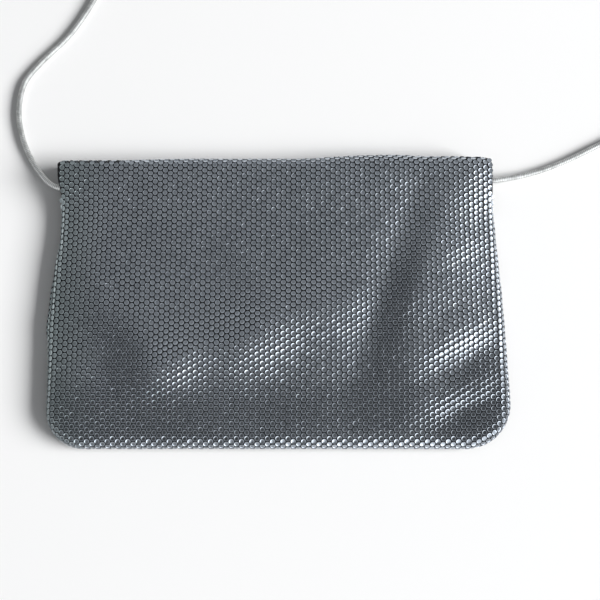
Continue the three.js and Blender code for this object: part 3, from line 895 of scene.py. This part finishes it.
class PURSE_OT_studio(Operator):
    """Camera, pale table, softbox and room light"""
    bl_idname = "purse.studio"
    bl_label = "Studio"

    def execute(self, context):
        studio = settings("purse_studio")
        lean = math.pi / 2 - studio.elevation
        ahead = Vector((0, math.sin(lean), -math.cos(lean)))
        spot = Vector(studio.target) - ahead * studio.distance
        bpy.ops.object.camera_add(location=spot, rotation=(lean, 0, 0))
        camera = context.object
        camera.data.sensor_width = 36
        camera.data.lens = 18 / math.tan(studio.view_angle / 2)
        camera.data.clip_start = 0.01
        context.scene.camera = camera

        bpy.ops.mesh.primitive_plane_add(size=6)
        floor = context.object
        floor.name = "table"
        floor.data.name = "table"
        material, tree, shader = new_material("pale_table")
        noise = tree.nodes.new("ShaderNodeTexNoise")
        noise.inputs["Scale"].default_value = 6.0
        tree.links.new(own_place(tree), noise.inputs["Vector"])
        shade = rgba(studio.floor_color, 0.985)
        base = mix_colors(tree, noise.outputs["Fac"], rgba(studio.floor_color), shade)
        tree.links.new(base, shader.inputs["Base Color"])
        shader.inputs["Roughness"].default_value = 0.9
        shader.inputs["Specular IOR Level"].default_value = 0.1
        dress(floor, material)

        self.add_key(context, studio.key_strength)
        self.make_room(context, studio.fill_strength, studio.window_strength)
        context.scene.view_settings.view_transform = "Standard"
        return {"FINISHED"}

    def add_key(self, context, radiance):
        """Softbox on the right, left out of reflections."""
        way = sky_axes(KEY_ROW)[0]
        turn = way.to_track_quat("Z", "Y").to_euler()
        bpy.ops.object.light_add(type="AREA", location=way * KEY_DISTANCE, rotation=turn)
        light = context.object
        light.name = "key"
        light.visible_glossy = False
        light.data.shape = "RECTANGLE"
        light.data.size = 2 * KEY_DISTANCE * math.tan(math.radians(KEY_ROW["wide"]))
        light.data.size_y = 2 * KEY_DISTANCE * math.tan(math.radians(KEY_ROW["high"]))
        light.data.energy = radiance * math.pi * light.data.size * light.data.size_y

    def make_room(self, context, strength, window_strength):
        """Dim room with light low walls and two windows on the right. Matt surfaces get plain light."""
        world = bpy.data.worlds.new("studio_room")
        world.use_nodes = True
        context.scene.world = world
        tree = world.node_tree
        background = tree.nodes["Background"]
        place = tree.nodes.new("ShaderNodeTexCoord")
        direction = place.outputs["Generated"]
        toward = self.facing(tree, direction, (0.77, -0.64, 0))
        right_side = map_range(tree, toward, 0.2, 0.6, 0.0, 1.6, "SMOOTHSTEP")
        room = plus(tree, map_range(tree, toward, -0.4, 0.1, 1.1, 1.5), right_side)
        room = times(tree, room, strength)
        camera = self.facing(tree, direction, (0.04, -0.22, 0.975))
        room = times(tree, room, map_range(tree, camera, 0.90, 0.99, 1.0, 0.58, "SMOOTHSTEP"))
        height = self.facing(tree, direction, (0, 0, 1))
        walls = map_range(tree, height, 0.82, 0.66, 1.0, 1.7, "SMOOTHSTEP")
        room = times(tree, room, walls)

        windows = [self.window(tree, direction, row) for row in WINDOW_ROWS]
        window = times(tree, math_node(tree, "MAXIMUM", *windows), window_strength)
        path = tree.nodes.new("ShaderNodeLightPath")
        mirrored = math_node(tree, "SUBTRACT", 1.0, path.outputs["Is Diffuse Ray"])
        mirrored = times(tree, mirrored, plus(tree, room, window))
        matt = times(tree, path.outputs["Is Diffuse Ray"], 0.75 * strength)
        tree.links.new(plus(tree, mirrored, matt), background.inputs["Strength"])
        background.inputs["Color"].default_value = (0.96, 0.98, 1.0, 1.0)

    def window(self, tree, direction, row):
        """Mask of a rectangle in the sky with soft edges."""
        front, side, over = sky_axes(row)
        ahead = math_node(tree, "MAXIMUM", self.facing(tree, direction, front), 0.001)
        edges = []
        for axis, half in ((side, row["wide"]), (over, row["high"])):
            off = math_node(tree, "DIVIDE", self.facing(tree, direction, axis), ahead)
            off = math_node(tree, "ABSOLUTE", off)
            start = math.tan(math.radians(half - WINDOW_BLUR))
            end = math.tan(math.radians(half + WINDOW_BLUR))
            edges.append(map_range(tree, off, start, end, 1.0, 0.0, "SMOOTHSTEP"))
        return times(tree, edges[0], edges[1])

    def facing(self, tree, direction, way):
        node = tree.nodes.new("ShaderNodeVectorMath")
        node.operation = "DOT_PRODUCT"
        node.inputs[1].default_value = way
        tree.links.new(direction, node.inputs[0])
        return node.outputs["Value"]


class PURSE_OT_back_panel(Operator):
    """Flat ring net of the back with its plates, and plates round its edge"""
    bl_idname = "purse.back_panel"
    bl_label = "Back panel"

    def execute(self, context):
        sizes = settings("purse_mesh")
        top = FOLD_LINE - CLEARANCE
        bottom = BACK_INSET - HALF_HEIGHT

        def place(u, v):
            y = bottom + (top - bottom) * (v + 1) / 2
            left, right = back_outline(y)
            x = right - (right - left) * (u + 1) / 2
            points = stack(x, y, np.full_like(x, sizes.net_depth))
            return points, stack(x, y)

        net = grid_sheet("back_net", 60, 60, place)
        thicken(net, MESH_WALL - 2 * sizes.net_depth)

        s, t = lattice(HALF_WIDTH, bottom, top)
        left, right = back_outline(np.clip(t, bottom, top))
        rim = np.minimum(np.minimum(s - left, right - s), t - bottom)
        radius = sizes.plate_radius
        keep = (rim > radius) & (t < top - radius)
        down = stack(s, t, np.zeros_like(s))[keep]
        faces_down = np.tile([0.0, 0.0, -1.0], (len(down), 1))
        plates = scatter("back_plates", plate_model(False), down, faces_down)

        edge, out = self.edge_places(bottom, top)
        edge_plates = scatter("back_edge_plates", plate_model(True), edge, out)
        cut = (BAG_WIDTH, top - bottom)
        finish_sheet(net, [plates, edge_plates], "back_panel", cut)
        return {"FINISHED"}

    def edge_places(self, bottom, top):
        """A row of plates on the upper face along both side edges, as the turned edge shows them."""
        sizes = settings("purse_mesh")
        pitch = sizes.plate_pitch
        y = np.arange(bottom + RIGHT_CORNER, top - pitch, pitch)
        places = []
        normals = []
        inset = sizes.plate_radius
        left, right = back_outline(y)
        for x, side in ((left + inset, -1.0), (right - inset, 1.0)):
            places.append(stack(x, y, np.full_like(y, MESH_WALL)))
            normals.append(np.tile([0.12 * side, 0.0, 1.0], (len(y), 1)))
        return np.concatenate(places), unit(np.concatenate(normals))


def curved_layer(name, top, full_roll, settle):
    """A net on the cover's form up to top, with its plates' places and normals and its cut.

    settle(points, normals, depth) lays points into the layer, depth under the plates' tops.
    """
    row = row_named(LAYER_ROWS, name)
    sizes = settings("purse_mesh")

    def place(u, v):
        s, t = flat_place(u, v, top, full_roll)
        points, normals, _ = cover_surface(s, t, full_roll)
        return settle(points, normals, sizes.net_depth), stack(s, t)

    net = grid_sheet(name, row["columns"], row["rows"], place)
    thicken(net, MESH_WALL - sizes.net_depth)
    s, t = lattice(HALF_WIDTH + ROLL_EXTRA, -HALF_HEIGHT - ROLL_EXTRA, top)
    points, normals, inside = cover_surface(s, t, full_roll)
    keep = (inside > sizes.plate_radius * row["rim"]) & (t < top - sizes.plate_radius)
    points = settle(points, normals, 0.0)[keep]
    normals = normals[keep]
    clear = thin_out(points, sizes.plate_pitch * row["gap"])
    cut = (BAG_WIDTH + 2 * ROLL_EXTRA, top + HALF_HEIGHT + ROLL_EXTRA)
    return net, points[clear], normals[clear], cut


class PURSE_OT_front_panel(Operator):
    """Front of the pocket under the flap"""
    bl_idname = "purse.front_panel"
    bl_label = "Front panel"

    def execute(self, context):
        def settle(points, normals, depth):
            return bedded(points - normals * (LAYER_STEP + depth), depth)

        net, points, normals, cut = curved_layer("front_net", MOUTH_LINE, True, settle)
        plates = scatter("front_plates", plate_model(False), points, normals)
        finish_sheet(net, [plates], "front_panel", cut)
        return {"FINISHED"}


class PURSE_OT_flap(Operator):
    """Top fold and long cover: ring net and its plates"""
    bl_idname = "purse.flap"
    bl_label = "Flap"

    def execute(self, context):
        def settle(points, normals, depth):
            return points - normals * depth

        net, points, normals, cut = curved_layer("flap_net", fold_end(), False, settle)
        model = plate_model(True)
        halves = {"flap_plates_left": points[:, 0] < 0, "flap_plates_right": points[:, 0] >= 0}
        plates = [scatter(name, model, points[half], leaned(points[half], normals[half]))
                  for name, half in halves.items()]
        finish_sheet(net, plates, "flap", cut)
        return {"FINISHED"}


def catmull_rom(points, steps):
    """Points on a smooth curve through the given ones, the way the chain's solid runs."""
    points = np.asarray(points)
    first = 2 * points[0] - points[1]
    last = 2 * points[-1] - points[-2]
    line = np.vstack([first, points, last])
    spans = np.maximum(np.linalg.norm(np.diff(line, axis=0), axis=1) ** 0.5, 1e-6)
    share = np.linspace(0, 1, steps, endpoint=False)[:, None]
    run = []
    for i in range(1, len(line) - 2):
        before, here, after, beyond = line[i - 1:i + 3]
        d0, d1, d2 = spans[i - 1:i + 2]
        leave = ((here - before) / d0 - (after - before) / (d0 + d1) + (after - here) / d1) * d1
        arrive = ((after - here) / d1 - (beyond - here) / (d1 + d2) + (beyond - after) / d2) * d1
        c2 = -3 * here + 3 * after - 2 * leave - arrive
        c3 = 2 * here - 2 * after + leave + arrive
        run.append(here + leave * share + c2 * share ** 2 + c3 * share ** 3)
    run.append(points[-1:])
    return np.vstack(run)


class PURSE_OT_chain(Operator):
    """Snake chain: one run of nested links with a joint after each"""
    bl_idname = "purse.chain"
    bl_label = "Strap chain"
    sides = 12
    bands = ((0.0, 1.0, 1.0), (0.28, 0.25, 0.0), (0.62, 0.0, 0.0), (0.86, 0.25, 0.0))

    def execute(self, context):
        chain = settings("purse_chain")
        run = catmull_rom(self.route(), 24)
        lengths = np.concatenate([[0], np.cumsum(np.linalg.norm(np.diff(run, axis=0), axis=1))])
        links = int(round(lengths[-1] / chain.link_pitch))
        share, sunk, shade = np.array(self.bands).T
        at = ((np.arange(links)[:, None] + share) / links * lengths[-1]).ravel()
        depth = np.tile(sunk, links)
        centres = np.stack([np.interp(at, lengths, run[:, axis]) for axis in range(3)], axis=-1)
        ahead = unit(np.gradient(centres, axis=0))
        up = np.tile([0.0, 0.0, 1.0], (len(at), 1))
        across = unit(np.cross(ahead, up))
        up = np.cross(across, ahead)
        angles = 2 * math.pi * np.arange(self.sides) / self.sides
        twist = (at / lengths[-1] * chain.twist)[:, None]
        around = angles[None, :] + twist
        squared = 1 - 0.07 * (1 - np.cos(4 * angles))[None, :] / 2
        radius = (chain.diameter / 2 - depth * chain.groove)[:, None] * squared
        points = (centres[:, None, :] + (np.cos(around) * radius)[..., None] * across[:, None, :]
                  + (np.sin(around) * radius)[..., None] * up[:, None, :])
        wave = 0.18 * chain.link_pitch * np.cos(2 * angles)[None, :, None]
        points = points + wave * ahead[:, None, :]
        self.build(context, points, np.tile(shade, links))
        return {"FINISHED"}

    def route(self):
        """The chosen points between the bores of the two caps."""
        left_low, left_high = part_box("strap_cap_left")
        right_low, right_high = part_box("strap_cap_right")
        left_end = (left_low + left_high) / 2
        left_end.x = left_low.x + CAP_BORE / 2
        right_end = (right_low + right_high) / 2
        right_end.x = right_high.x - CAP_BORE / 2
        lead = Vector((CAP_BORE / 2 + CLEARANCE, 0, 0))
        middle = []
        for row in CHAIN_ROUTE:
            x = row["side"] * (HALF_WIDTH + row["out"] * MM)
            middle.append((x, HALF_HEIGHT + row["up"] * MM, row["z"] * MM))
        return [tuple(left_end), tuple(left_end - lead), *middle, tuple(right_end + lead), tuple(right_end)]

    def build(self, context, points, dark):
        rings = len(points)
        faces = []
        for ring in range(rings - 1):
            start = ring * self.sides
            for corner in range(self.sides):
                after = (corner + 1) % self.sides
                faces.append((start + corner, start + after,
                              start + self.sides + after, start + self.sides + corner))
        faces.append(tuple(range(self.sides - 1, -1, -1)))
        faces.append(tuple((rings - 1) * self.sides + corner for corner in range(self.sides)))
        mesh = bpy.data.meshes.new("chain_links")
        mesh.from_pydata(points.reshape(-1, 3).tolist(), [], faces)
        groove = mesh.attributes.new("groove", "FLOAT", "POINT")
        groove.data.foreach_set("value", np.repeat(dark, self.sides).astype(np.float32))
        piece = bpy.data.objects.new("chain_links", mesh)
        context.scene.collection.objects.link(piece)
        select_only(piece)
        bpy.ops.object.mode_set(mode="EDIT")
        bpy.ops.mesh.select_all(action="SELECT")
        bpy.ops.mesh.normals_make_consistent(inside=False)
        bpy.ops.object.mode_set(mode="OBJECT")
        bpy.ops.object.shade_smooth()
        dress(piece, metal_material("chain_steel", settings("purse_finish").chain_color, True))
        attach(piece, "root")
        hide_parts("strap_chain")


class PURSE_OT_fittings(Operator):
    """Finish of the closure disc, caps, rings and tabs"""
    bl_idname = "purse.fittings"
    bl_label = "Fittings"

    def execute(self, context):
        material = metal_material("polished_fitting", settings("purse_finish").fitting_color, False)
        names = ["snap"]
        for side in ("left", "right"):
            names += [f"strap_cap_{side}", f"strap_ring_{side}", f"strap_tab_{side}"]
        for name in names:
            dress(bpy.data.objects[name], material)
        return {"FINISHED"}


class PURSE_PT_panel(Panel):
    bl_label = "Metal mesh purse"
    bl_idname = "PURSE_PT_panel"
    bl_space_type = "VIEW_3D"
    bl_region_type = "UI"
    bl_category = "Purse"

    def draw(self, context):
        for operator in OPERATORS:
            self.layout.operator(operator.bl_idname)
        for name, group in SETTINGS.items():
            column = self.layout.column()
            for field in group.__annotations__:
                column.prop(getattr(context.scene, name), field)


SETTINGS = {
    "purse_mesh": PurseMeshSettings,
    "purse_chain": PurseChainSettings,
    "purse_finish": PurseFinishSettings,
    "purse_studio": PurseStudioSettings,
}
OPERATORS = [PURSE_OT_studio, PURSE_OT_back_panel, PURSE_OT_front_panel, PURSE_OT_flap,
             PURSE_OT_chain, PURSE_OT_fittings]


def register():
    for made in [*SETTINGS.values(), *OPERATORS, PURSE_PT_panel]:
        bpy.utils.register_class(made)
    for name, group in SETTINGS.items():
        setattr(bpy.types.Scene, name, PointerProperty(type=group))


def unregister():
    for name in SETTINGS:
        delattr(bpy.types.Scene, name)
    for made in reversed([*SETTINGS.values(), *OPERATORS, PURSE_PT_panel]):
        bpy.utils.unregister_class(made)


def main():
    register()
    bpy.ops.purse.studio()
    bpy.ops.purse.back_panel()
    bpy.ops.purse.front_panel()
    bpy.ops.purse.flap()
    bpy.ops.purse.chain()
    bpy.ops.purse.fittings()


if __name__ == "__main__":
    main()
